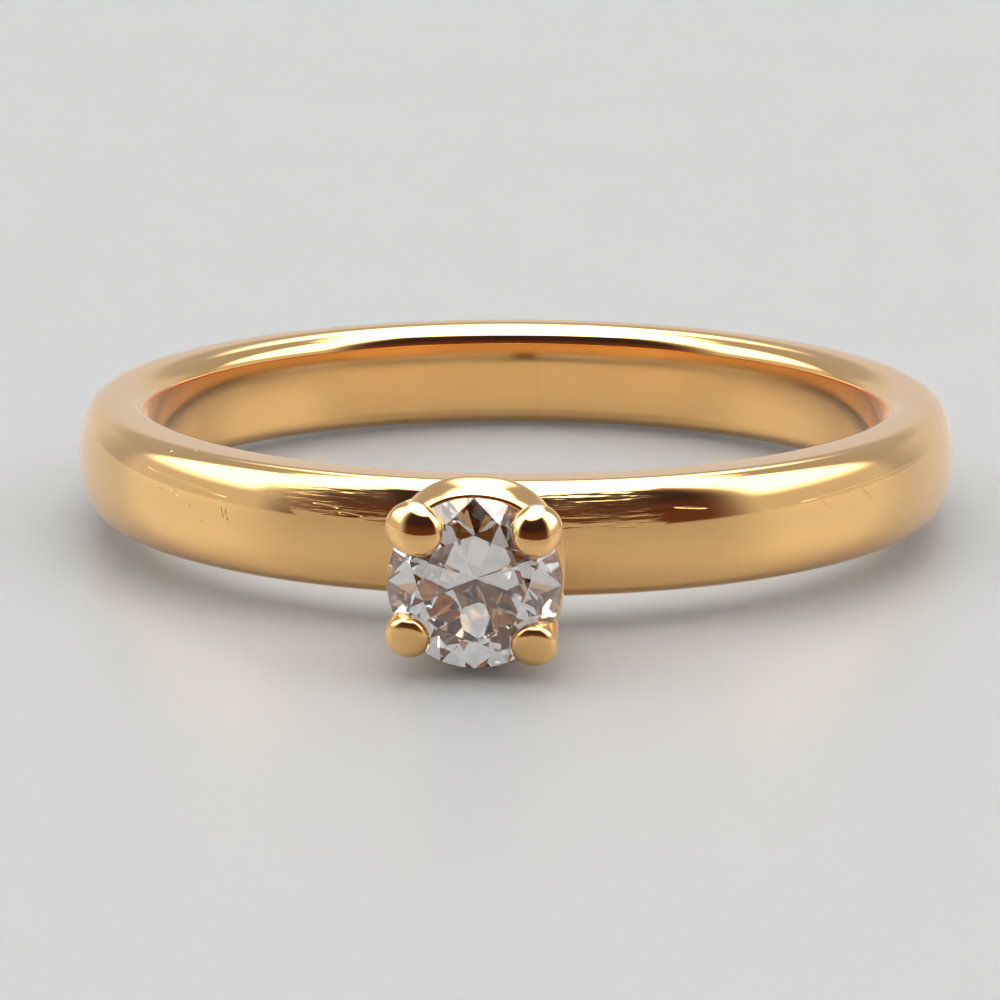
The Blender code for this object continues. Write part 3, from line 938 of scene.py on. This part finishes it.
@dataclass(frozen=True)
class Stone:
    """A round brilliant, as the planes of its facets about the middle of its girdle."""

    radius: float
    table_radius: float = 1.1 * MM
    girdle_thickness: float = 0.09 * MM
    crown_angle: float = math.radians(34.5)
    pavilion_angle: float = math.radians(42.5)
    main_facets: int = 8
    star_reach: float = 0.5
    lower_half_reach: float = 0.55
    girdle_steps: int = 128

    @property
    def table_height(self) -> float:
        """How far the table stands above the middle of the girdle."""
        return self.girdle_thickness / 2 + (self.radius - self.table_radius) * math.tan(self.crown_angle)

    def facets(self) -> list[tuple[Vector, Vector]]:
        """Each facet as a point on it and its outward normal.

        Returns:
            The mains, stars, halves, table and culet.
        """
        step = math.tau / self.main_facets
        edge = self.girdle_thickness / 2
        table = self.table_height
        culet = -edge - self.radius * math.tan(self.pavilion_angle)
        table_side = self.table_radius * math.cos(step / 2)
        star_radius = table_side + self.star_reach * (self.radius - table_side)
        star_drop = (self.radius - star_radius * math.cos(step / 2)) * math.tan(self.crown_angle)
        half_radius = self.radius * (1 - self.lower_half_reach)
        half_height = culet + half_radius * math.cos(step / 2) * math.tan(self.pavilion_angle)
        up = Vector((0, 0, 1))
        planes = [(up * table, up), (up * culet, -up)]
        for k in range(self.main_facets):
            main = k * step
            between = main + step / 2
            crown_way = polar(math.sin(self.crown_angle), main, math.cos(self.crown_angle))
            pavilion_way = polar(math.sin(self.pavilion_angle), main, -math.cos(self.pavilion_angle))
            planes.append((polar(self.radius, main, edge), crown_way))
            planes.append((polar(self.radius, main, -edge), pavilion_way))
            star_tip = polar(star_radius, between, edge + star_drop)
            half_tip = polar(half_radius, between, half_height)
            corner = polar(self.table_radius, main, table)
            next_corner = polar(self.table_radius, main + step, table)
            planes.append((star_tip, self.facing_out(corner, star_tip, next_corner)))
            for side in (main, main + step):
                upper = (star_tip, polar(self.radius, side, edge), polar(self.radius, between, edge))
                lower = (half_tip, polar(self.radius, side, -edge), polar(self.radius, between, -edge))
                planes.append((star_tip, self.facing_out(*upper)))
                planes.append((half_tip, self.facing_out(*lower)))
        return planes

    @staticmethod
    def facing_out(a: Vector, b: Vector, c: Vector) -> Vector:
        """The normal of the plane through three points, turned away from the stone's middle."""
        across = normal(a, b, c)
        return across if across.dot(a) > 0 else -across

    def mesh(self, name: str, grow: float = 0.0) -> Mesh:
        """Cut the brilliant out of a round rough, one flat facet at a time.

        Args:
            name: The mesh's name.
            grow: How far every facet moves outwards, for the seat that holds the stone.

        Returns:
            The mesh about the middle of the girdle, table up.
        """
        bm = bmesh.new()
        rough = self.radius + grow
        depth = 2 * self.radius
        steps = self.girdle_steps
        bmesh.ops.create_cone(bm, cap_ends=True, segments=steps, radius1=rough, radius2=rough, depth=depth)
        for point, outward in self.facets():
            everything = bm.verts[:] + bm.edges[:] + bm.faces[:]
            level = point + outward * grow
            cut_off = bmesh.ops.bisect_plane(
                bm, geom=everything, dist=WELD, plane_co=level, plane_no=outward, clear_outer=True
            )
            rim = [item for item in cut_off["geom_cut"] if isinstance(item, bmesh.types.BMEdge)]
            bmesh.ops.holes_fill(bm, edges=rim, sides=0)
            bmesh.ops.remove_doubles(bm, verts=bm.verts, dist=FACET_WELD)
        bmesh.ops.recalc_face_normals(bm, faces=bm.faces)
        mesh = bpy.data.meshes.new(name)
        bm.to_mesh(mesh)
        bm.free()
        return mesh


class ClawFinish(Enum):
    """How bright a claw's gold still is."""

    BRIGHT = "bright_claw_gold"
    DULLED = "dulled_claw_gold"


@dataclass(frozen=True)
class Claw:
    """Where a claw stands round the stone, and how its tip was bent over and worn down.

    Directions are round the head's axis, from the right as the stone is looked at. The foot stands inside the
    edge of the collet's foot, and the tip inside the girdle, by their insets. The knee is how far the wire
    bows out between them. The tip starts above the girdle by its rise and faces along the axis, turned up by
    its pitch and to the right by its yaw. Its dome leans to the right and sags. Angles are in degrees, sizes
    in millimetres.
    """

    corner: str
    foot_direction: float
    foot_inset: float
    foot_diameter: float
    knee_direction: float
    knee: float
    tip_direction: float
    tip_inset: float
    tip_diameter: float
    tip_pitch: float
    tip_yaw: float
    tip_height: float
    tip_fullness: float
    tip_rise: float
    tip_lean: float
    tip_sag: float
    finish: ClawFinish

    @property
    def node(self) -> str:
        """The solid that the claw stands for."""
        return "claw_" + self.corner


BRIGHT, DULLED = ClawFinish
CLAWS = (
    Claw(
        "upper_right",
        foot_direction=45, foot_inset=0.15, foot_diameter=0.7, knee_direction=30, knee=0.06,
        tip_direction=42.6, tip_inset=0, tip_diameter=1.02, tip_pitch=25, tip_yaw=20,
        tip_height=0.4, tip_fullness=2, tip_rise=0.22, tip_lean=-0.06, tip_sag=0.1, finish=BRIGHT,
    ),
    Claw(
        "upper_left",
        foot_direction=135, foot_inset=0.05, foot_diameter=0.74, knee_direction=150, knee=0.1,
        tip_direction=137, tip_inset=0.032, tip_diameter=1.1, tip_pitch=15, tip_yaw=-2,
        tip_height=0.43, tip_fullness=2, tip_rise=0.28, tip_lean=0.22, tip_sag=0.05, finish=BRIGHT,
    ),
    Claw(
        "lower_left",
        foot_direction=216, foot_inset=0.05, foot_diameter=0.7, knee_direction=218, knee=0.08,
        tip_direction=218.5, tip_inset=0.075, tip_diameter=0.95, tip_pitch=-25, tip_yaw=-10,
        tip_height=0.32, tip_fullness=3, tip_rise=0.15, tip_lean=0, tip_sag=0, finish=DULLED,
    ),
    Claw(
        "lower_right",
        foot_direction=315, foot_inset=0.05, foot_diameter=0.7, knee_direction=316, knee=0.08,
        tip_direction=316, tip_inset=0.07, tip_diameter=0.98, tip_pitch=-25, tip_yaw=0,
        tip_height=0.32, tip_fullness=3, tip_rise=0.15, tip_lean=0, tip_sag=0, finish=DULLED,
    ),
)


@dataclass(frozen=True)
class Oval:
    """A rounded outline across the head, where a fullness of two gives an ellipse."""

    half_width: float
    half_height: float
    fullness: float = 2.0
    middle_height: float = 0.0

    def eased(self, other: "Oval", share: float) -> "Oval":
        """An outline between this one and another."""
        mine, others = astuple(self), astuple(other)
        return Oval(*(first + (second - first) * share for first, second in zip(mine, others)))

    def ring(self, level: float, steps: int, grow: float = 0.0) -> list[Vector]:
        """The outline's points.

        Args:
            level: How far from the finger's axis the ring lies.
            steps: How many points it has.
            grow: How far it lies outside the outline.

        Returns:
            The points.
        """
        power = 2 / self.fullness
        points = []
        for i in range(steps):
            angle = math.tau * i / steps
            right = math.copysign(abs(math.cos(angle)) ** power, math.cos(angle))
            up = math.copysign(abs(math.sin(angle)) ** power, math.sin(angle))
            above = up * (self.half_height + grow) + self.middle_height
            points.append(Vector((right * (self.half_width + grow), above, level)))
        return points


@dataclass(frozen=True)
class Head:
    """The collet on its solder, the four claws round it and the stone that they hold."""

    band: Band
    stone: Stone
    wires: WireTree
    drop: float = 0.08 * MM
    girdle_height: float = 3.07 * MM
    rim_proud: float = 0.03 * MM
    rim_drop: float = 0.12 * MM
    rim_bore: float = 1.8 * MM
    crest_bulge: float = 0.18 * MM
    crest_lift: float = 0.07 * MM
    crest_drop: float = 0.75 * MM
    crest_fullness: float = 2.4
    crest_roundness: float = 1.3
    foot_diameter: float = 2.2 * MM
    foot_bore: float = 0.7 * MM
    skirt: float = 0.6 * MM
    taper: float = 1.3
    claw_lean_depth: float = 0.25 * MM
    claw_foot_lean: float = math.radians(7)
    claw_tip_handle: float = 0.9 * MM
    knee_place: float = 1.6
    joint_gap: float = 0.004 * MM
    solder_thickness: float = 0.09 * MM
    solder_fillet: float = 0.07 * MM
    collet_steps: int = 160
    crest_points: int = 16
    taper_points: int = 24
    claw_points: int = 48
    tip_points: int = 16
    claw_sides: int = 64

    @property
    def place(self) -> Matrix:
        """From the head's frame to the row's frame."""
        return self.band.place.head(self.drop)

    @property
    def crown_level(self) -> float:
        """How far the band's crown lies from the finger's axis."""
        return self.band.crown_radius

    @property
    def girdle_level(self) -> float:
        """How far the stone's girdle lies from the finger's axis."""
        return self.crown_level + self.girdle_height

    @property
    def foot_level(self) -> float:
        """How far the collet's foot lies from the finger's axis, below the band's crown."""
        return self.crown_level - self.skirt

    @property
    def rim_level(self) -> float:
        """How far the collet's rim lies from the finger's axis, below the girdle."""
        return self.girdle_level - self.rim_drop

    @property
    def foot(self) -> Oval:
        """The outline of the collet's foot."""
        return Oval(self.foot_diameter / 2, self.foot_diameter / 2)

    @property
    def bore(self) -> Oval:
        """The outline of the hole through the collet's foot."""
        return Oval(self.foot_bore / 2, self.foot_bore / 2)

    def collet_rings(self) -> list[list[Vector]]:
        """The collet's wall, from the rim over the rounded crest, down to the foot and up the bore.

        Returns:
            The wall's rings.
        """
        steps = self.collet_steps
        crest_level = self.girdle_level - self.crest_drop
        radius = self.stone.radius + self.rim_proud
        rim = Oval(radius, radius)
        crest = Oval(radius, radius + self.crest_bulge, self.crest_fullness, self.crest_lift)
        power = 2 / self.crest_roundness
        rings = []
        for i in range(self.crest_points + 1):
            angle = math.pi / 2 * i / self.crest_points
            level = crest_level + (self.rim_level - crest_level) * abs(math.cos(angle)) ** power
            rings.append(rim.eased(crest, math.sin(angle) ** power).ring(level, steps))
        for i in range(1, self.taper_points + 1):
            share = i / self.taper_points
            level = crest_level + (self.foot_level - crest_level) * share
            rings.append(crest.eased(self.foot, share**self.taper).ring(level, steps))
        rings.append(self.bore.ring(self.foot_level, steps))
        rings.append(Oval(self.rim_bore / 2, self.rim_bore / 2).ring(self.rim_level, steps))
        return rings

    def claw_stations(self, claw: Claw, grow: float = 0.0) -> tuple[list[Vector], list[float]]:
        """The claw's middle from foot to tip with the wire's radius, ending in a dome.

        Args:
            claw: The claw.
            grow: How far its surface moves outwards, for the groove that it lies in.

        Returns:
            The points and the radius at each.
        """
        foot_angle, tip_angle = math.radians(claw.foot_direction), math.radians(claw.tip_direction)
        foot = polar(self.foot_diameter / 2 - claw.foot_inset * MM, foot_angle, self.foot_level)
        tip_level = self.girdle_level + claw.tip_rise * MM
        tip = polar(self.stone.radius - claw.tip_inset * MM, tip_angle, tip_level)
        foot_way = polar(math.sin(self.claw_foot_lean), foot_angle, math.cos(self.claw_foot_lean))
        pitch, yaw = math.radians(claw.tip_pitch), math.radians(claw.tip_yaw)
        tip_way = Vector((math.sin(yaw) * math.cos(pitch), math.sin(pitch), math.cos(yaw) * math.cos(pitch)))
        foot_handle = foot + foot_way * (tip.z - foot.z) / 3
        tip_handle = tip - tip_way * self.claw_tip_handle
        points = interpolate_bezier(foot, foot_handle, tip_handle, tip, self.claw_points)
        foot_radius = claw.foot_diameter / 2 * MM + grow
        tip_radius = claw.tip_diameter / 2 * MM + grow
        radii = []
        for i, point in enumerate(points):
            share = i / (self.claw_points - 1)
            bend = claw.knee * MM * math.sin(math.pi * share**self.knee_place) ** 2
            point += polar(bend, math.radians(claw.knee_direction), 0)
            radii.append(foot_radius + (tip_radius - foot_radius) * share)
        power = 2 / claw.tip_fullness
        for i in range(1, self.tip_points + 1):
            angle = math.pi / 2 * i / (self.tip_points + POLE_MARGIN)
            points.append(tip + tip_way * (claw.tip_height * MM + grow) * math.sin(angle) ** power)
            radii.append(tip_radius * math.cos(angle) ** power)
        return points, radii

    def claw_piece(self, claw: Claw, name: str, finish: Material, grow: float = 0.0) -> Object:
        """Draw a claw's wire as a working object that can still be cut.

        Args:
            claw: The claw.
            name: The object's name.
            finish: The material.
            grow: How far its surface moves outwards, for the groove that it lies in.

        Returns:
            The object.
        """
        points, radii = self.claw_stations(claw, grow)
        path = drawn_path(name + "_path", points, radii)
        tip_level = self.girdle_level + claw.tip_rise * MM
        lean = Vector((claw.tip_lean, -claw.tip_sag, 0)) * MM
        values = {"Path": path, "Sides": self.claw_sides, "Material": finish, "Lean": lean}
        values |= {"Lean From": tip_level - self.claw_lean_depth, "Lean To": tip_level + claw.tip_height * MM}
        work = self.wires.working_piece(name, values)
        solid = working_object(name + "_solid", evaluated_mesh(work, name))
        discard(work, path)
        return solid

    def band_space(self, name: str, grow: float, finish: Material) -> Object:
        """The band grown by a clearance and set in the head's frame, to cut what is soldered onto it.

        Args:
            name: The mesh's name.
            grow: The clearance.
            finish: The material.

        Returns:
            The cutter.
        """
        mesh = self.band.closed_ring(name, grow, finish)
        mesh.transform(self.place.inverted() @ self.band.place.band())
        return working_object(name + "_solid", mesh)

    def build(self, gold: Material, claw_golds: dict[ClawFinish, Material], solder: Material) -> None:
        """Make the collet, its solder and the claws, and hand them over.

        Args:
            gold: The collet's gold.
            claw_golds: The claws' gold, by how bright it is.
            solder: The solder under the collet.
        """
        skin = self.band_space("band_skin", 0.0, gold)
        saddle_space = self.band_space("saddle_space", self.solder_thickness, gold)
        seat_mesh = self.stone.mesh("stone_seat", self.joint_gap)
        seat_mesh.transform(Matrix.Translation((0, 0, self.girdle_level)))
        seat = working_object("stone_seat", seat_mesh)
        collet = working_object("collet_solid", loft_mesh("collet", self.collet_rings(), gold))
        cut(collet, saddle_space)
        cut(collet, seat)
        used = [skin, saddle_space, seat, collet]
        for claw in CLAWS:
            claw_gold = claw_golds[claw.finish]
            wire = self.claw_piece(claw, claw.node, claw_gold)
            cut(wire, saddle_space)
            cut(wire, seat)
            groove = self.claw_piece(claw, claw.node + "_groove", claw_gold, self.joint_gap)
            cut(collet, groove)
            name = claw.node + "_polished"
            hand_over(name, evaluated_mesh(wire, name), self.place, claw.node)
            used += [wire, groove]
        collet_mesh = evaluated_mesh(collet, "collet_polished")
        hand_over("collet_polished", collet_mesh, self.place, "collet")
        used.append(self.build_saddle(skin, saddle_space, solder))
        discard(*used)

    def build_saddle(self, skin: Object, space: Object, solder: Material) -> Object:
        """Make the washer of solder between the collet's foot and the band's dome.

        Args:
            skin: The band's surface.
            space: What the collet and claws keep clear round the band.
            solder: The material.

        Returns:
            The working object, to be discarded.
        """
        low, high = self.foot_level, self.crown_level + self.skirt
        rings = [self.foot.ring(level, self.collet_steps, self.solder_fillet) for level in (high, low)]
        rings += [self.bore.ring(level, self.collet_steps) for level in (low, high)]
        saddle = working_object("solder_saddle", loft_mesh("solder_saddle", rings, solder))
        cut(saddle, space, Cut.INSIDE)
        cut(saddle, skin)
        mesh = evaluated_mesh(saddle, "saddle_polished")
        hand_over("saddle_polished", mesh, self.place, "collet_solder_saddle")
        return saddle

    def set_stone(self, diamond: Material) -> None:
        """Put the stone in its seat.

        Args:
            diamond: The material.
        """
        mesh = self.stone.mesh("stone_polished")
        mesh.materials.append(diamond)
        place = self.place @ Matrix.Translation((0, 0, self.girdle_level))
        hand_over("stone_polished", mesh, place, "brilliant_stone")


# Studio


@dataclass(frozen=True)
class Panel:
    """A soft-edged part of the tent, by its direction from the ring.

    Azimuth is nought towards the camera's side, and grows to the right. Angles are in degrees.
    """

    azimuth: float
    half_width: float
    low: float
    strength: float
    colour: str = "#ffffff"
    side_blur: float = 5.0
    end_blur: float = 7.0

    def light(self) -> tuple[float, ...]:
        """The panel's colour at its strength."""
        return tuple(channel * self.strength for channel in linear(self.colour)[:3]) + (1.0,)


@dataclass(frozen=True)
class LightTent:
    """A white light tent with bright sides and roof, open towards the camera."""

    wall: str = "#afaeac"
    backdrop: str = "#d5d6d6"
    panels: tuple[Panel, ...] = (
        # The back wall and the dimmer strip over it
        Panel(180, 45, -30, 0.66, side_blur=12),
        Panel(180, 62, 20, 0.42, side_blur=4, end_blur=5),
        # The side walls and the lamps over them
        Panel(90, 27, -30, 0.66),
        Panel(-90, 27, -30, 0.66),
        Panel(93, 22, 22, 3.9),
        Panel(-93, 22, 22, 3.9),
        # The lamp over the back wall
        Panel(180, 20, 38, 4.0, side_blur=6, end_blur=5),
        # The opening, with a warm glow that fades upwards
        Panel(2, 60, -90, 0.12, "#ff9c4c", side_blur=9),
        Panel(2, 60, 24, 0.03, "#ff9c4c", side_blur=9, end_blur=14),
    )
    roof_half_angle: float = 27.5
    roof_tilt: float = 5.5
    roof_blur: float = 4.0
    roof_strength: float = 5.0

    def build(self) -> None:
        """Make the world."""
        world = bpy.data.worlds.new("light_tent")
        bpy.context.scene.world = world
        world.use_nodes = True
        tree = world.node_tree
        tree.nodes.clear()
        way = add_node(tree, "ShaderNodeTexCoord").outputs["Generated"]
        parts = add_node(tree, "ShaderNodeSeparateXYZ", {0: way}).outputs
        forward = add_node(tree, "ShaderNodeMath", {0: parts["Y"], 1: -1.0}, operation="MULTIPLY").outputs[0]
        round_about = {0: parts["X"], 1: forward}
        azimuth = add_node(tree, "ShaderNodeMath", round_about, operation="ARCTAN2").outputs[0]
        elevation = add_node(tree, "ShaderNodeMath", {0: parts["Z"]}, operation="ARCSINE").outputs[0]
        light = add_node(tree, "ShaderNodeRGB").outputs[0]
        light.default_value = linear(self.wall)
        layers = [(self.panel_mask(tree, panel, azimuth, elevation), panel.light()) for panel in self.panels]
        layers.append((self.roof_mask(tree, way), (self.roof_strength,) * 3 + (1.0,)))
        for mask, colour in layers:
            laid_over = {0: mask, 6: light, 7: colour}
            light = add_node(tree, "ShaderNodeMix", laid_over, data_type="RGBA").outputs[2]
        tent = add_node(tree, "ShaderNodeBackground", {"Color": light})
        pale = add_node(tree, "ShaderNodeBackground", {"Color": linear(self.backdrop)})
        seen = add_node(tree, "ShaderNodeLightPath").outputs["Is Camera Ray"]
        both = {0: seen, 1: tent.outputs[0], 2: pale.outputs[0]}
        mixed = add_node(tree, "ShaderNodeMixShader", both)
        add_node(tree, "ShaderNodeOutputWorld", {"Surface": mixed.outputs[0]})

    @staticmethod
    def soft_step(tree: NodeTree, angle: NodeSocket, edge: float, blur: float) -> NodeSocket:
        """Rise from nought to one where an angle passes an edge.

        Args:
            tree: The world's nodes.
            angle: The angle, in radians.
            edge: The edge, in degrees.
            blur: Half the width of the rise, in degrees.

        Returns:
            Nought before the edge and one past it.
        """
        low, high = math.radians(edge - blur), math.radians(edge + blur)
        rise = {"Value": angle, "From Min": low, "From Max": high}
        return add_node(tree, "ShaderNodeMapRange", rise, interpolation_type="SMOOTHSTEP").outputs["Result"]

    def panel_mask(
        self, tree: NodeTree, panel: Panel, azimuth: NodeSocket, elevation: NodeSocket
    ) -> NodeSocket:
        """Say where a panel lies.

        Args:
            tree: The world's nodes.
            panel: The panel.
            azimuth: The direction round the ring, in radians.
            elevation: The direction's height, in radians.

        Returns:
            One inside the panel and nought outside.
        """
        turned = {0: azimuth, 1: math.radians(panel.azimuth)}
        apart = add_node(tree, "ShaderNodeMath", turned, operation="SUBTRACT").outputs[0]
        half_turn = {0: apart, 1: math.pi, 2: -math.pi}
        wrapped = add_node(tree, "ShaderNodeMath", half_turn, operation="WRAP").outputs[0]
        off = add_node(tree, "ShaderNodeMath", {0: wrapped}, operation="ABSOLUTE").outputs[0]
        beside = self.soft_step(tree, off, panel.half_width, panel.side_blur)
        above = self.soft_step(tree, elevation, panel.low, panel.end_blur)
        within = add_node(tree, "ShaderNodeMath", {0: 1.0, 1: beside}, operation="SUBTRACT").outputs[0]
        return add_node(tree, "ShaderNodeMath", {0: within, 1: above}, operation="MULTIPLY").outputs[0]

    def roof_mask(self, tree: NodeTree, way: NodeSocket) -> NodeSocket:
        """Say where the roof lies: a round cap that leans to the back.

        Args:
            tree: The world's nodes.
            way: The direction that is looked in.

        Returns:
            One inside the roof and nought outside.
        """
        tilt = math.radians(self.roof_tilt)
        facing = {0: way, 1: (0.0, math.sin(tilt), math.cos(tilt))}
        level = add_node(tree, "ShaderNodeVectorMath", facing, operation="DOT_PRODUCT").outputs["Value"]
        height = add_node(tree, "ShaderNodeMath", {0: level}, operation="ARCSINE").outputs[0]
        return self.soft_step(tree, height, 90 - self.roof_half_angle, self.roof_blur)


@dataclass(frozen=True)
class Viewpoint:
    """Where the photograph was taken from, about the middle of the finger hole."""

    azimuth: float = math.radians(3.64)
    elevation: float = math.radians(11.89)
    distance: float = 107.3 * MM
    roll: float = math.radians(0.175)
    focal_px: float = 4726.6
    image_px: float = 1000.0
    hole_px: tuple[float, float] = (515.6, 446.4)
    sensor_mm: float = 36.0
    near_share: float = 1 / 20

    def build(self, place: RingPlace) -> None:
        """Make the camera and look through it.

        Args:
            place: Where the ring lies.
        """
        turn = place.band().to_3x3()
        back = turn @ polar(math.cos(self.elevation), self.azimuth - math.pi / 2, math.sin(self.elevation))
        right = turn @ Vector((math.cos(self.azimuth), math.sin(self.azimuth), 0))
        up = back.cross(right)
        eye = place.centre + back * self.distance
        scale = self.distance / self.focal_px
        off_right = (self.hole_px[0] - self.image_px / 2) * scale
        off_down = (self.hole_px[1] - self.image_px / 2) * scale
        aim = place.centre - right * off_right + up * off_down
        depth = (eye - aim).normalized()
        side = up.cross(depth).normalized()
        rise = depth.cross(side)
        turned = Matrix((side, rise, depth)).transposed().to_4x4()
        data = bpy.data.cameras.new("viewpoint")
        data.sensor_width = self.sensor_mm
        data.lens = self.focal_px / self.image_px * self.sensor_mm
        data.clip_start = self.distance * self.near_share
        camera = bpy.data.objects.new("viewpoint", data)
        bpy.context.scene.collection.objects.link(camera)
        camera.matrix_world = Matrix.Translation(eye) @ turned @ Matrix.Rotation(self.roll, 4, "Z")
        bpy.context.scene.camera = camera


@dataclass(frozen=True)
class Table:
    """The pale table that the ring lies on."""

    radius: float = 1.2
    steps: int = 96

    def build(self, finish: Material) -> None:
        """Make the table's top as a round sheet on the floor.

        Args:
            finish: The material.
        """
        mesh = bpy.data.meshes.new("table_top")
        bm = bmesh.new()
        bmesh.ops.create_circle(bm, cap_ends=True, segments=self.steps, radius=self.radius)
        bm.to_mesh(mesh)
        bm.free()
        mesh.materials.append(finish)
        table = bpy.data.objects.new("table_top", mesh)
        bpy.context.scene.collection.objects.link(table)


def set_rendering() -> None:
    """Keep plain colours, and let light bounce often enough inside the stone."""
    scene = bpy.context.scene
    scene.view_settings.view_transform = "Standard"
    scene.cycles.max_bounces = MAX_BOUNCES
    scene.cycles.glossy_bounces = GLOSSY_BOUNCES
    scene.cycles.transmission_bounces = MAX_BOUNCES


def write_sizes() -> None:
    """Update the view layer so that every piece is evaluated."""
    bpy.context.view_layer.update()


def main() -> None:
    """Build the ring, its table, its light and its camera."""
    logging.basicConfig(level=logging.INFO, format="%(name)s: %(message)s")
    set_rendering()
    place = RingPlace.from_record()
    gold = WornGold("worn_gold").material()
    collet_gold = PolishedGold("polished_gold", roughness=0.1, worn_roughness=0.16).material()
    bright = PolishedGold(BRIGHT.value, roughness=0.06, worn_roughness=0.1, haze=0.25)
    dulled = PolishedGold(DULLED.value, roughness=0.15, worn_roughness=0.2)
    claw_golds = {BRIGHT: bright.material(), DULLED: dulled.material()}
    solder = PolishedGold("gold_solder", colour="#f9c987", warm_colour="#f6c17b").material()
    diamond = CutDiamond().material()
    shank_low, shank_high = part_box("shank")
    stone_low, stone_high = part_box("brilliant_stone")
    band = Band(place, SweptTree(), crown_radius=(shank_high.x - shank_low.x) / 2)
    band.build(gold, solder)
    head = Head(band, Stone(radius=(stone_high.x - stone_low.x) / 2), WireTree())
    head.build(collet_gold, claw_golds, solder)
    head.set_stone(diamond)
    Table().build(PaleTable().material())
    LightTent().build()
    Viewpoint().build(place)
    write_sizes()


if __name__ == "__main__":
    main()
